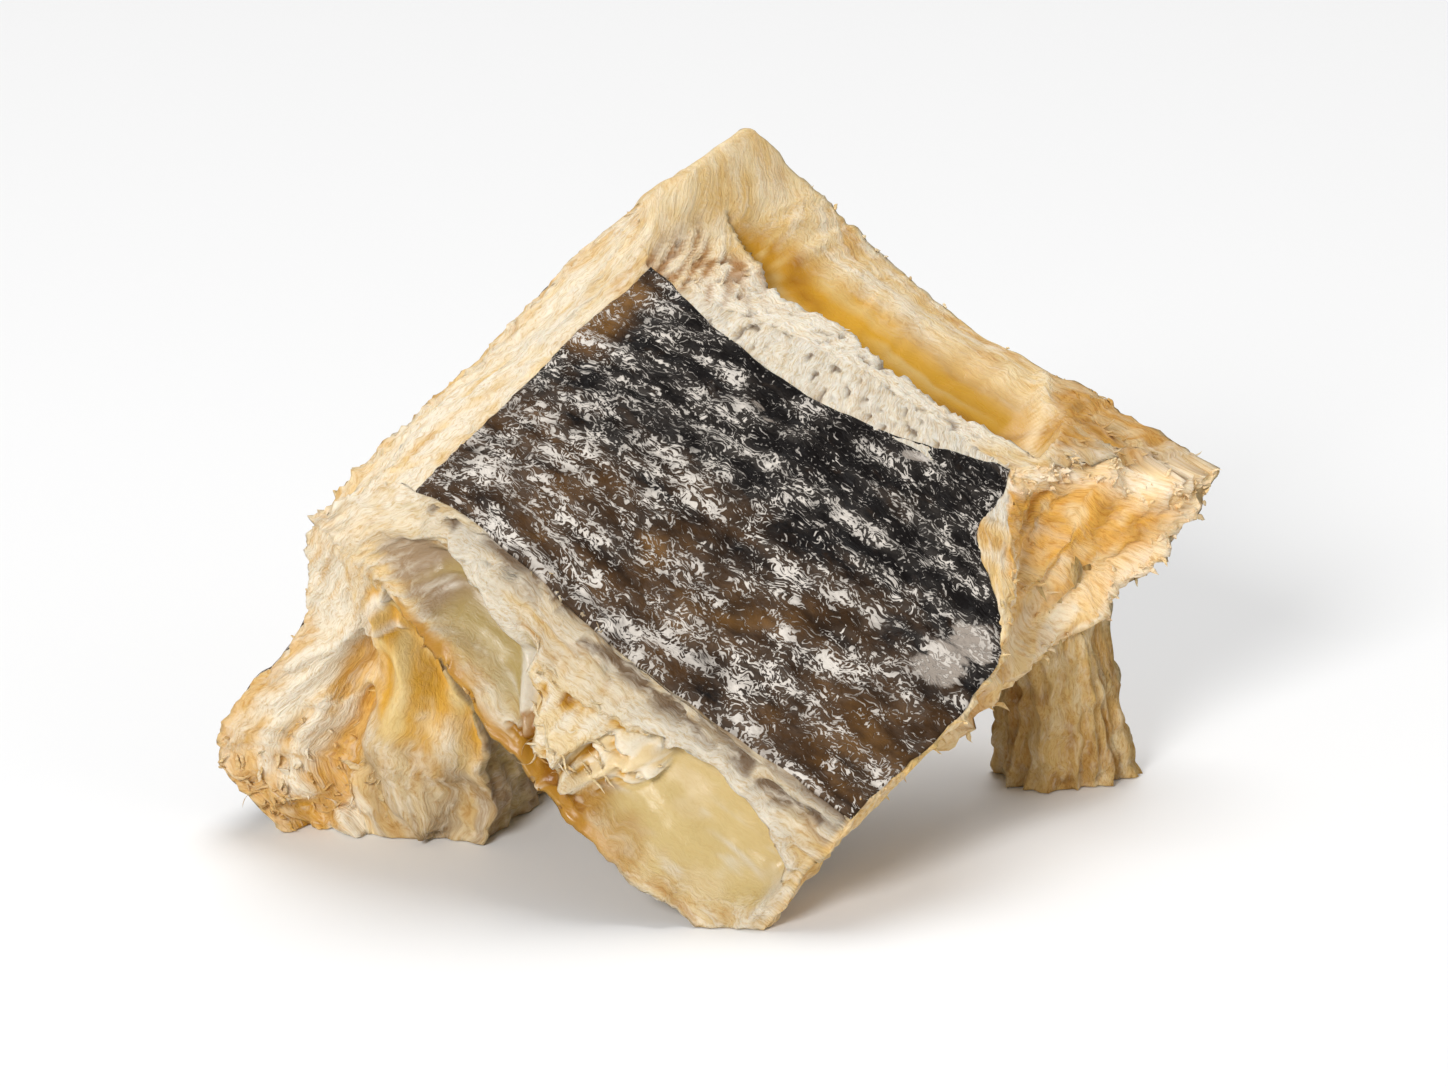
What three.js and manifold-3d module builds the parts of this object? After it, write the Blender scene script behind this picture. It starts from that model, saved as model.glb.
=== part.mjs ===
// Stockfish piece: one saw-cut section of unsalted, air-dried cod, standing on its own cut edges.
// The section is a roof of flesh over the empty belly. A short left wall and a long right flank meet at
// the back ridge. The flank carries dark skin outside and a smooth belly lining inside, and both saw cuts
// show how the flesh shrank into pockets, troughs and ragged rims as it dried.
// Millimetres, +Z up, +X to the right of the front cut, +Y from the front cut towards the rear cut.

import Module from 'manifold-3d';
import * as THREE from 'three';
import { mergeVertices } from 'three/addons/utils/BufferGeometryUtils.js';
import { ImprovedNoise } from 'three/addons/math/ImprovedNoise.js';

// Guide lines that follow the fish. Each runs through the front cut, half way, and the rear cut.
// "around" is the place round the roof: the left foot, 0 on the back ridge, 1 at the torn right hem.
const LEFT_FOOT = -0.6;
const RIGHT_HEM = 1;
const GUIDE_LINES = [
  { // left foot
    around: LEFT_FOOT,
    skin: [[-55, 12, -3], [-50, 38, -3], [-36, 60, 9]],
    lining: [[-30, 7, -3], [-20, 36, -3], [-6, 56, 9]],
  },
  { // flared edge just above the foot
    around: -0.5,
    skin: [[-67, 15, 11], [-53, 38, 9], [-36, 59, 20]],
    lining: [[-30, 7, 6], [-19, 35, 7], [-5, 55, 20]],
  },
  { // left wall, half way up
    around: -0.28,
    skin: [[-54, 5, 31], [-44, 29, 38], [-26, 50, 48]],
    lining: [[-33, 7, 20], [-17, 33, 28], [-2, 54, 48]],
  },
  { // back ridge
    around: 0,
    skin: [[-52, 0, 48], [-31, 18, 64], [-10, 37, 81]],
    lining: [[-43, 3, 37], [-20, 28, 54], [4, 55, 87]],
  },
  { // shoulder, where the skin starts
    around: 0.17,
    skin: [[-38.5, -2, 52], [-23, 13, 64], [-8.5, 28, 74.5]],
    lining: [[-38, -5, 33], [-14, 25, 52], [14, 59, 77]],
  },
  { // middle of the right flank
    around: 0.6,
    skin: [[-9.3, -12.8, 31.5], [7, 8, 48], [17, 25, 62.5]],
    lining: [[-19, -19, 13], [6, 8, 29], [33, 58, 60]],
  },
  { // right hem, cut in front and torn behind
    around: RIGHT_HEM,
    skin: [[18, -23, 14.5], [37.5, 0, 28.5], [39.5, 23, 47.5]],
    lining: [[3, -26, -4], [25, 10, 13], [67, 45, 43]],
  },
];

// Ragged leg of belly flesh that hangs from the hem down to the ground, as three oval sections.
// "wide" reaches along the hem and "thick" across it.
const LEG_ROOT = { around: 0.9, along: 0.8, outward: 0.3 };
const LEG_ROOT_WIDE = [10, 7, 7];
const LEG_ROOT_THICK = [-4, 4, 1];
const LEG_KNEE = { centre: [46.5, 31, 19], wide: [6.5, 2.5, 2], thick: [-2, 5, 0] };
const LEG_FOOT = { centre: [49, 37, -4], wide: [9, 2, 0], thick: [-2, 6.5, 0] };
const LEG_SIDES = 20;
const LEG_STEPS = 16;
const LEG_FLUTES = 2.2;
const LEG_RAGGEDNESS = 0.3;

// Hollows in the two saw cuts, as eye shapes. "from" and "to" are places round the roof, "inner" and
// "outer" go from the belly lining, 0, to the skin, 1, and a negative depth is a swelling.
const FRONT_HOLLOWS = [
  { from: 0.59, to: 0.985, inner: 0.04, outer: 0.74, depth: 5 }, // pocket of shrunken flesh by the hem
  { from: 0.07, to: 0.5, inner: 0.03, outer: 0.6, depth: 5 }, // cove with bare membrane under the ridge
  { from: 0.45, to: 0.68, inner: 0.16, outer: 0.76, depth: -3 }, // knob of flesh between those two
  { from: 0.2, to: 0.98, inner: 0.8, outer: 0.93, depth: 1.8 }, // split below the skin
  { from: -0.57, to: -0.15, inner: 0.08, outer: 0.55, depth: -2.5 }, // smooth swelling in the left wall
  { from: -0.58, to: -0.2, inner: 0.56, outer: 0.82, depth: 3.5 }, // crease beside that swelling
];
const REAR_HOLLOWS = [
  { from: 0.16, to: 0.97, inner: 0.24, outer: 0.78, depth: 9 }, // long trough behind the flank
  { from: -0.55, to: -0.08, inner: 0.25, outer: 0.75, depth: 3 }, // dip in the left wall
];

const SOFT_RIM = 1.4; // above 1, the rim of a hollow is rounded

// Swelling of the torn hem. Here "from" and "to" are places along the fish.
const HEM_SWELLING = { from: 0.5, to: 1.15, inner: -0.35, outer: 0.75, height: 4.5 };

// Relief of the dried flesh: longer along the fish than across it
const RELIEF = 1;
const LUMP_AROUND = 6.5;
const LUMP_ALONG = 15;
const LUMP_DEEP = 6;
const ROOF_LENGTH = 88;
const FISH_LENGTH = 66;
const FLESH_DEPTH = 22;
const NOISE_SHIFT = 17.3;
const CREASE_WIDTH = 0.2; // smooth stretch of the lining to each side of the crease under the ridge

const SEGMENTS_AROUND = 54;
const SEGMENTS_ALONG = 28;
const SEGMENTS_DEEP = 12;

const SMALL_STEP = 0.01;
const GROUND_SIZE = 400;
const GROUND_DEPTH = 40;

const FLESH_COLOUR = 0xd9bd84;
const FLESH_ROUGHNESS = 0.62;

const noise = new ImprovedNoise();

// Curves along the fish, one for each guide line, for the skin side or the lining side
function guideCurves(side) {
  return GUIDE_LINES.map((line) => {
    const stations = line[side].map((point) => new THREE.Vector3(...point));
    return new THREE.CatmullRomCurve3(stations);
  });
}

const skinCurves = guideCurves('skin');
const liningCurves = guideCurves('lining');

// Share of the way through the guide lines, from 0 on the left foot to 1 at the hem
function guideShare(around) {
  const last = GUIDE_LINES.length - 1;
  let index = 0;
  while (index < last - 1 && around > GUIDE_LINES[index + 1].around) {
    index += 1;
  }
  const start = GUIDE_LINES[index].around;
  const end = GUIDE_LINES[index + 1].around;
  return THREE.MathUtils.clamp((index + (around - start) / (end - start)) / last, 0, 1);
}

function sheetPoint(curves, around, along) {
  const section = curves.map((curve) => curve.getPoint(along));
  return new THREE.CatmullRomCurve3(section).getPoint(guideShare(around));
}

// Plain form of the section, with "outward" going from the lining, 0, to the skin, 1
function plainPoint(around, along, outward) {
  return sheetPoint(liningCurves, around, along).lerp(sheetPoint(skinCurves, around, along), outward);
}

// 1 in the middle of an eye shape, falling to 0 on its rim
function eyeShape(lengthwise, outward, eye) {
  const place = THREE.MathUtils.clamp((lengthwise - eye.from) / (eye.to - eye.from), 0, 1);
  const halfOpening = Math.sqrt(place * (1 - place));
  const off = Math.abs((outward - eye.inner) / (eye.outer - eye.inner) - 0.5);
  return halfOpening > 0 ? Math.max(0, 1 - (off / halfOpening) ** 2) ** SOFT_RIM : 0;
}

function hollowDepth(hollows, around, outward) {
  return hollows.reduce((depth, eye) => depth + eye.depth * eyeShape(around, outward, eye), 0);
}

function fishDirection(around, along, outward) {
  const ahead = plainPoint(around, Math.min(1, along + SMALL_STEP), outward);
  const behind = plainPoint(around, Math.max(0, along - SMALL_STEP), outward);
  return ahead.sub(behind).normalize();
}

function hemDirection(along, outward) {
  const inside = plainPoint(RIGHT_HEM - SMALL_STEP, along, outward);
  return plainPoint(RIGHT_HEM, along, outward).sub(inside).normalize();
}

// Lumps and flakes, as a push in every direction, so that neighbouring faces stay joined at their edge
function relief(x, y, z) {
  const coarse = (row) => noise.noise(x + row * NOISE_SHIFT, y, z);
  const fine = (row) => noise.noise(2 * x, 2 * y, 2 * z + row * NOISE_SHIFT) / 2;
  const push = [1, 2, 3].map((row) => coarse(row) + fine(row));
  return new THREE.Vector3(...push).multiplyScalar(RELIEF);
}

function finishedPoint(around, along, outward) {
  const point = plainPoint(around, along, outward);
  const direction = fishDirection(around, along, outward);
  if (along === 0) {
    point.addScaledVector(direction, hollowDepth(FRONT_HOLLOWS, around, outward));
  }
  if (along === 1) {
    point.addScaledVector(direction, -hollowDepth(REAR_HOLLOWS, around, outward));
  }
  if (around >= RIGHT_HEM) {
    const swelling = HEM_SWELLING.height * eyeShape(along, outward, HEM_SWELLING);
    point.addScaledVector(hemDirection(along, outward), swelling);
  }
  const lumpsAround = (around * ROOF_LENGTH) / LUMP_AROUND;
  const lumpsAlong = (along * FISH_LENGTH) / LUMP_ALONG;
  const lumpsDeep = (outward * FLESH_DEPTH) / LUMP_DEEP;
  const smooth = Math.exp(-((around / CREASE_WIDTH) ** 2)) * (1 - outward);
  return point.addScaledVector(relief(lumpsAround, lumpsAlong, lumpsDeep), 1 - smooth);
}

// Keeps only the positions, with shared corners merged, so that the mesh is closed
function closedGeometry(geometry) {
  geometry.deleteAttribute('normal');
  geometry.deleteAttribute('uv');
  return mergeVertices(geometry);
}

function moveVertices(geometry, place) {
  const positions = geometry.attributes.position;
  for (let index = 0; index < positions.count; index += 1) {
    const point = place(new THREE.Vector3().fromBufferAttribute(positions, index));
    positions.setXYZ(index, point.x, point.y, point.z);
  }
  return geometry;
}

// The roof starts as a block in (around, along, outward), and each of its surface points is then placed
function roofGeometry() {
  const roofSpan = RIGHT_HEM - LEFT_FOOT;
  const block = new THREE.BoxGeometry(roofSpan, 1, 1, SEGMENTS_AROUND, SEGMENTS_ALONG, SEGMENTS_DEEP);
  block.translate(LEFT_FOOT + roofSpan / 2, 0.5, 0.5);
  return moveVertices(closedGeometry(block), (point) => finishedPoint(point.x, point.y, point.z));
}

// The leg starts as an upright cylinder of unit height and radius, and is stretched over its three sections
function legGeometry() {
  const root = plainPoint(LEG_ROOT.around, LEG_ROOT.along, LEG_ROOT.outward).toArray();
  const sections = [{ centre: root, wide: LEG_ROOT_WIDE, thick: LEG_ROOT_THICK }, LEG_KNEE, LEG_FOOT];
  const [centres, wides, thicks] = ['centre', 'wide', 'thick'].map((key) => {
    const stations = sections.map((oval) => new THREE.Vector3(...oval[key]));
    return new THREE.CatmullRomCurve3(stations);
  });
  const cylinder = new THREE.CylinderGeometry(1, 1, 1, LEG_SIDES, LEG_STEPS);
  return moveVertices(closedGeometry(cylinder), (point) => {
    const share = THREE.MathUtils.clamp(0.5 - point.y, 0, 1);
    const flute = noise.noise(LEG_FLUTES * point.x, LEG_FLUTES * point.z, share);
    const reach = 1 + LEG_RAGGEDNESS * flute;
    const placed = centres.getPoint(share);
    placed.addScaledVector(wides.getPoint(share), reach * point.x);
    placed.addScaledVector(thicks.getPoint(share), -reach * point.z);
    return placed.add(relief(placed.x / LUMP_AROUND, placed.y / LUMP_AROUND, placed.z / LUMP_ALONG));
  });
}

// Block of ground under the piece, which leaves flat spots where the feet are cut off
function groundGeometry() {
  const ground = new THREE.BoxGeometry(GROUND_SIZE, GROUND_SIZE, GROUND_DEPTH);
  ground.translate(0, 0, -GROUND_DEPTH / 2);
  return closedGeometry(ground);
}

const wasm = await Module();
wasm.setup();

function solidFrom(geometry) {
  return new wasm.Manifold(new wasm.Mesh({
    numProp: 3,
    vertProperties: new Float32Array(geometry.attributes.position.array),
    triVerts: new Uint32Array(geometry.index.array),
  }));
}

function geometryFrom(solid) {
  const mesh = solid.getMesh();
  const geometry = new THREE.BufferGeometry();
  geometry.setAttribute('position', new THREE.BufferAttribute(mesh.vertProperties, mesh.numProp));
  geometry.setIndex(new THREE.BufferAttribute(mesh.triVerts, 1));
  return geometry;
}

// Stands the piece with the middle of its footprint on the origin
function centreOnGround(geometry) {
  geometry.computeBoundingBox();
  const middle = geometry.boundingBox.getCenter(new THREE.Vector3());
  geometry.translate(-middle.x, -middle.y, -geometry.boundingBox.min.z);
}

function stockfishPiece() {
  const whole = solidFrom(roofGeometry()).add(solidFrom(legGeometry()));
  const geometry = geometryFrom(whole.subtract(solidFrom(groundGeometry())));
  centreOnGround(geometry);
  geometry.computeVertexNormals();
  const flesh = new THREE.MeshStandardMaterial({
    color: FLESH_COLOUR,
    roughness: FLESH_ROUGHNESS,
    metalness: 0,
  });
  const mesh = new THREE.Mesh(geometry, flesh);
  mesh.name = 'stockfish_piece';
  return mesh;
}

const stockfish = new THREE.Group();
stockfish.add(stockfishPiece());

export default stockfish;
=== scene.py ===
import math

import bmesh
import bpy
import numpy as np
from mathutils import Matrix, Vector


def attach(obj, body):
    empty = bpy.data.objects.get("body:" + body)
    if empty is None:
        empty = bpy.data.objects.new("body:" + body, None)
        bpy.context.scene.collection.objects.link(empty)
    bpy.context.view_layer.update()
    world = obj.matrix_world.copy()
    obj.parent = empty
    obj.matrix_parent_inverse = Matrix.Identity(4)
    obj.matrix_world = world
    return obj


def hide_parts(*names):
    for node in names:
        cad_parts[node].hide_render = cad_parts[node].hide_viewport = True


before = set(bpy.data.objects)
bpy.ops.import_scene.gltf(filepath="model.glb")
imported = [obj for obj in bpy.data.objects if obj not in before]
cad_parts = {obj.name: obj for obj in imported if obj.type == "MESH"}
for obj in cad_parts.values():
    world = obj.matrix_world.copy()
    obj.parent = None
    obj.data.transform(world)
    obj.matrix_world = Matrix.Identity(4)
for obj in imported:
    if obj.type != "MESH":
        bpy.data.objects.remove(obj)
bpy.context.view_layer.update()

# Flesh of the roof
# One saw-cut section of air-dried cod: a short left wall and a long right flank meet at the back ridge over
# the empty belly. It is a single grown piece of fibrous flesh, and it stands on its own cut edges.

MM = 0.001
LEFT_FOOT = -0.6
BACK_RIDGE = 0.0
SKIN_START = 0.17
RIGHT_HEM = 1.0

# Guide lines along the fish in millimetres: the place round the roof, then the skin side and the lining
# side, each through the front cut, half way and the rear cut
GUIDE_LINES = [
    (LEFT_FOOT,
     [(-55, 12, -3), (-50, 38, -3), (-36, 60, 9)],
     [(-30, 7, -3), (-20, 36, -3), (-6, 56, 9)]),
    (-0.5,
     [(-67, 15, 11), (-53, 38, 9), (-36, 59, 20)],
     [(-30, 7, 6), (-19, 35, 7), (-5, 55, 20)]),
    (-0.28,
     [(-54, 5, 31), (-44, 29, 38), (-26, 50, 48)],
     [(-33, 7, 20), (-17, 33, 28), (-2, 54, 48)]),
    (BACK_RIDGE,
     [(-52, 0, 48), (-31, 18, 64), (-10, 37, 81)],
     [(-43, 3, 37), (-20, 28, 54), (4, 55, 87)]),
    (SKIN_START,
     [(-38.5, -2, 52), (-23, 13, 64), (-8.5, 28, 74.5)],
     [(-38, -5, 33), (-14, 25, 52), (14, 59, 77)]),
    (0.6,
     [(-9.3, -12.8, 31.5), (7, 8, 48), (17, 25, 62.5)],
     [(-19, -19, 13), (6, 8, 29), (33, 58, 60)]),
    (RIGHT_HEM,
     [(18, -23, 14.5), (37.5, 0, 28.5), (39.5, 23, 47.5)],
     [(3, -26, -4), (25, 10, 13), (67, 45, 43)]),
]
FOOTPRINT_MIDDLE = (1.43, 17.43, 0)  # of the piece, in the guide lines' millimetres

guide_places = np.array([line[0] for line in GUIDE_LINES])
skin_stations = (np.array([line[1] for line in GUIDE_LINES]) - FOOTPRINT_MIDDLE) * MM
lining_stations = (np.array([line[2] for line in GUIDE_LINES]) - FOOTPRINT_MIDDLE) * MM


def limited(values):
    return np.clip(values, 0, 1)


def curve_through(stations, share):
    """Centripetal curve through the stations, which lie along the first axis, at each share of its run."""
    last = len(stations) - 1
    place = limited(share) * last
    index = np.clip(place.astype(int), 0, last - 1)
    weight = (place - index)[..., None]
    before = 2 * stations[:1] - stations[1:2]
    after = 2 * stations[-1:] - stations[-2:-1]
    padded = np.concatenate([before, stations, after])
    a, b, c, d = (np.take_along_axis(padded, (index + k)[None, ..., None], axis=0)[0] for k in range(4))
    ab, bc, cd = (np.sqrt(np.linalg.norm(q - p, axis=-1, keepdims=True)) for p, q in ((a, b), (b, c), (c, d)))
    leave = ((b - a) / ab - (c - a) / (ab + bc) + (c - b) / bc) * bc
    arrive = ((c - b) / bc - (d - b) / (bc + cd) + (d - c) / cd) * bc
    square = 3 * (c - b) - 2 * leave - arrive
    cube = 2 * (b - c) + leave + arrive
    return b + leave * weight + square * weight**2 + cube * weight**3


def sheet_points(stations, around, along):
    lines = curve_through(stations.transpose(1, 0, 2)[:, None], along[:, None])
    share = np.interp(around, guide_places, np.linspace(0, 1, len(guide_places)))
    return curve_through(lines.transpose(1, 0, 2), share)


def roof_points(around, along, outward):
    """Plain form of the section. Outward goes from the belly lining, 0, to the skin, 1."""
    inner = sheet_points(lining_stations, around, along)
    outer = sheet_points(skin_stations, around, along)
    return inner + (outer - inner) * outward[:, None]


def unit(vectors):
    return vectors / np.maximum(np.linalg.norm(vectors, axis=-1, keepdims=True), 1e-9)


def way(start, end):
    """Direction from some (around, along, outward) places to others."""
    return unit(roof_points(*end) - roof_points(*start))


dice = np.random.default_rng(11)
LATTICE = 256
shuffle = dice.permutation(LATTICE)
slopes = unit(dice.normal(size=(LATTICE, 3)))


def grain(points):
    """Smooth lumps of about unit size, from -1 to 1."""
    cell = np.floor(points).astype(int)
    part = points - cell
    ease = part**3 * (part * (part * 6 - 15) + 10)
    total = np.zeros(len(points))
    for corner in np.ndindex(2, 2, 2):
        x, y, z = ((cell + corner) % LATTICE).T
        pick = shuffle[(shuffle[(shuffle[x] + y) % LATTICE] + z) % LATTICE]
        share = np.where(corner, ease, 1 - ease).prod(axis=1)
        total += share * (slopes[pick] * (part - corner)).sum(axis=1)
    return np.clip(total * 1.7, -1, 1)


def layered_grain(points):
    return (grain(points) + grain(points * 2.1 + 9.2) / 2 + grain(points * 4.3 + 4.7) / 4) / 1.5


def creases(points):
    """1 along thin winding ridge lines, falling to 0 between them."""
    return (1 - np.abs(grain(points))) ** 3


def bell(values, width):
    """1 where the values are 0, falling smoothly to 0 a few widths away."""
    return np.exp(-((values / width) ** 2))


def ramp(values, start, end):
    share = limited((values - start) / (end - start))
    return share * share * (3 - 2 * share)


def stretch(values, start, full, fading, end):
    """1 between full and fading, falling to 0 at the start and the end."""
    return ramp(values, start, full) * ramp(values, end, fading)


ROOF_LENGTH = 88.0  # millimetres for one unit round the roof
FISH_LENGTH = 66.0
FLESH_DEPTH = 22.0


def fibre_frame(around, along, outward):
    """Place in the flesh in millimetres: round the roof, along the fibres, and up from the lining."""
    return np.stack([around * ROOF_LENGTH, along * FISH_LENGTH, outward * FLESH_DEPTH], axis=1)


LUMP = np.array([6.5, 15.0, 6.0])
FLAKE = np.array([2.4, 6.0, 2.2])
CREASE_WIDTH = 0.2  # smooth stretch of the lining to each side of the crease under the ridge


def lumps(around, along, outward, size):
    """Push in every direction, so that neighbouring faces stay joined at their edge."""
    place = fibre_frame(around, along, outward) / size
    return np.stack([grain(place + shift) for shift in ((17.3, 0, 0), (0, 34.6, 0), (0, 0, 51.9))], axis=1)


def relief_push(around, along, outward):
    smooth = bell(around, CREASE_WIDTH) * (1 - outward)
    smooth = np.maximum(smooth, 0.65 * ramp(outward, 0.5, 1) * ramp(around, 0.1, SKIN_START))
    torn = ramp(around, 0.9, 1) * ramp(along, 0.1, 0.4) + 1.5 * ramp(-around, 0.45, 0.6)
    fine = 0.3 + 0.75 * torn
    push = 0.9 * lumps(around, along, outward, LUMP) + fine[:, None] * lumps(around, along, outward, FLAKE)
    return push * (1 - smooth)[:, None] * MM


def grid_quads(number):
    """Quads between the numbered points of a grid."""
    corners = [number[:-1, :-1], number[1:, :-1], number[1:, 1:], number[:-1, 1:]]
    return np.stack(corners, axis=-1).reshape(-1, 4)


def block_surface(around, along, outward):
    """Surface of a block of those grid lines: its (around, along, outward) places and outward quads."""
    ends = [len(around) - 1, len(along) - 1, len(outward) - 1]
    rows = np.stack(np.meshgrid(*(np.arange(end + 1) for end in ends), indexing="ij"), axis=-1)
    shown = ((rows == 0) | (rows == ends)).any(axis=-1)
    number = np.full(shown.shape, -1)
    number[shown] = np.arange(shown.sum())
    i, j, k = rows[shown].T
    faces = []
    sides = (
        (number[:, :, -1], 1), (number[:, :, 0], -1), (number[:, 0, :], 1),
        (number[:, -1, :], -1), (number[0], -1), (number[-1], 1),
    )
    for side, turn in sides:
        faces.append(grid_quads(side)[:, ::turn])
    return np.stack([around[i], along[j], outward[k]], axis=1), np.concatenate(faces)


SOFT_RIM = 1.4


def eye_shape(lengthwise, across, eye, soft_rim=SOFT_RIM):
    """1 in the middle of a lens-shaped patch (from, to, inner, outer), falling to 0 on its rim."""
    start, end, inner, outer = eye
    place = limited((lengthwise - start) / (end - start))
    half_opening = np.sqrt(place * (1 - place)) + 1e-6
    off = np.abs((across - inner) / (outer - inner) - 0.5)
    return np.maximum(0, 1 - (off / half_opening) ** 2) ** soft_rim


def line_shape(places, line, width, spans):
    """1 on a line over two-way places, which measure spans in millimetres, and 0 a few widths away."""
    spots = places * spans
    corners = np.array(line) * spans
    nearest = np.full(len(spots), np.inf)
    for start, end in zip(corners, corners[1:]):
        run = end - start
        share = limited((spots - start) @ run / (run @ run))
        nearest = np.minimum(nearest, np.linalg.norm(spots - start - share[:, None] * run, axis=1))
    return bell(nearest, width)


CUT_SPANS = (ROOF_LENGTH, FLESH_DEPTH)


def strongest(first, second, lines, spans=CUT_SPANS):
    """Height of the strongest of several lines, each with its width and height."""
    places = np.stack([first, second], axis=1)
    return np.max([height * line_shape(places, line, width, spans) for line, width, height in lines], axis=0)


# Lens-shaped patches of the two saw cuts: from, to, inner, outer
POCKET = (0.56, 0.985, 0.04, 0.8)
COVE = (0.0, 0.5, 0.0, 0.8)
KNOB = (0.44, 0.7, 0.14, 0.84)
SPLIT = (0.2, 0.98, 0.86, 0.95)
KNOB_HOLLOW = (0.42, 0.72, 0.02, 0.22)
COVE_HOLLOW = (0.44, 0.54, 0.02, 0.36)
SWELLING = (-0.57, -0.12, 0.05, 0.52)
GOLDEN_WALL = (-0.47, -0.05, -0.5, 0.58)
WALL_CREASE = (-0.58, -0.2, 0.5, 0.7)
WALL_HOLLOW = (-0.38, -0.23, 0.57, 0.76)
WALL_DIP = (-0.55, -0.08, 0.25, 0.75)
HEM_SWELLING = (0.5, 1.15, -0.35, 0.75)
HEM_DISH = (0.6, 1.08, 0.12, 0.9)

# How deep or high the patches are in millimetres
POCKET_DEPTH = 4.6
COVE_DEPTH = 4.2
KNOB_HEIGHT = 3.2
SPLIT_DEPTH = 1.4
HOLLOW_DEPTH = 0.8
SWELLING_HEIGHT = 2.5
WALL_CREASE_DEPTH = 2.0
WALL_HOLLOW_DEPTH = 1.5
WALL_DIP_DEPTH = 3.0
TROUGH_DEPTH = 9.0
HEM_SWELLING_HEIGHT = 4.5
HEM_DISH_DEPTH = 4.0
STREAK_HEIGHT = 0.9

# Sheets of connective tissue that stand up as thin seams: line, width and height in millimetres
FLANK_SEAMS = [
    ([(0.46, 0.66), (0.58, 0.76), (0.69, 0.82), (0.8, 0.835), (0.9, 0.78), (0.985, 0.6)], 0.8, 1.5),
    ([(0.28, 0.84), (0.37, 0.66), (0.42, 0.43), (0.46, 0.24)], 1.9, 2.6),
    ([(0.7, 0.8), (0.67, 0.55), (0.62, 0.34), (0.57, 0.18), (0.53, 0.05)], 0.9, 1.9),
    ([(0.47, 0.34), (0.51, 0.52), (0.6, 0.63)], 0.8, 1.4),
    ([(0.985, 0.58), (0.975, 0.3), (0.96, 0.08)], 0.7, 1.0),
    ([(0.12, 0.62), (0.2, 0.8), (0.3, 0.88)], 0.9, 0.5),
]
WALL_SEAMS = [
    ([(-0.33, 0.93), (-0.2, 0.62), (-0.1, 0.25), (-0.04, 0.02)], 1.2, 1.4),
    ([(-0.4, 0.88), (-0.28, 0.78), (-0.17, 0.45), (-0.12, 0.1)], 0.9, 1.0),
]
WALL_FOLDS = [
    ([(-0.58, 0.92), (-0.545, 0.66), (-0.47, 0.55), (-0.37, 0.54)], 1.3, 3.0),
    ([(-0.53, 0.99), (-0.52, 0.82), (-0.47, 0.74), (-0.4, 0.73)], 0.8, 1.6),
]
BAND_SLITS = [
    ([(0.2, 0.89), (0.32, 0.915), (0.45, 0.92), (0.57, 0.93), (0.7, 0.915), (0.85, 0.9), (0.96, 0.87)],
     0.6, 1.8),
    ([(0.5, 0.85), (0.6, 0.88), (0.68, 0.86)], 0.5, 1.4),
    ([(0.8, 0.87), (0.88, 0.85), (0.94, 0.81)], 0.5, 1.2),
]
FLAP_SEAM = [([(0.985, 0.78), (0.9, 0.52), (0.83, 0.28), (0.77, 0.06)], 0.6, 1.0)]

# Round lumps of the knob: around, outward and radius in millimetres
KNOB_LUMPS = [(0.55, 0.5, 3.2), (0.605, 0.47, 2.7), (0.52, 0.36, 2.3), (0.64, 0.6, 2.0)]


def lump_heights(around, outward, spots):
    height = np.zeros_like(around)
    for spot_around, spot_outward, radius in spots:
        off = np.hypot((around - spot_around) * ROOF_LENGTH, (outward - spot_outward) * FLESH_DEPTH)
        height = np.maximum(height, radius * limited(1 - (off / radius) ** 2) ** 0.8)
    return height


# Rims of the trough behind the flank: around, inner rim, outer rim
TROUGH_RIMS = np.array([
    (0.14, 0.42, 0.46), (0.22, 0.32, 0.52), (0.33, 0.27, 0.64), (0.45, 0.25, 0.7), (0.55, 0.23, 0.72),
    (0.68, 0.2, 0.82), (0.8, 0.2, 0.84), (0.88, 0.35, 0.79), (0.97, 0.73, 0.77),
])


def trough_shape(around, outward):
    inner, outer = (np.interp(around, TROUGH_RIMS[:, 0], TROUGH_RIMS[:, side]) for side in (1, 2))
    within = (around > TROUGH_RIMS[0, 0]) & (around < TROUGH_RIMS[-1, 0])
    share = limited((outward - inner) / (outer - inner))
    return within * (4 * share * (1 - share)) ** 0.7 * limited((outer - inner) / 0.3)


def flank_rear_edge(around):
    """How far along the fish the flank's skin reaches: it sags away from the rear cut in the middle."""
    return 1 - 0.155 * np.sin(limited((around - 0.22) / 0.78) * math.pi) ** 1.3


def flank_hem_edge(along):
    """How far round the roof the flank's skin reaches: it is torn back beside the flap."""
    return RIGHT_HEM - 0.065 * bell(along - 0.76, 0.13)


def flank_skin_cover(around, along):
    """1 where skin covers the flank, 0 on the bare flesh beyond its edges."""
    from_ridge = ramp(around, SKIN_START, SKIN_START + 0.012)
    from_rear = ramp(flank_rear_edge(around) - along, 0, 0.015)
    return from_ridge * from_rear * ramp(flank_hem_edge(along) - around, 0, 0.012)


WALL_SKIN_AROUND = (LEFT_FOOT + 0.04, -0.06)
WALL_SKIN_ALONG = (0.03, 0.97)


def wall_skin_cover(around, along):
    start, end = WALL_SKIN_AROUND
    first, last = WALL_SKIN_ALONG
    across = stretch(around, start, start + 0.012, end - 0.012, end)
    return across * stretch(along, first, first + 0.015, last - 0.015, last)


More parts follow.
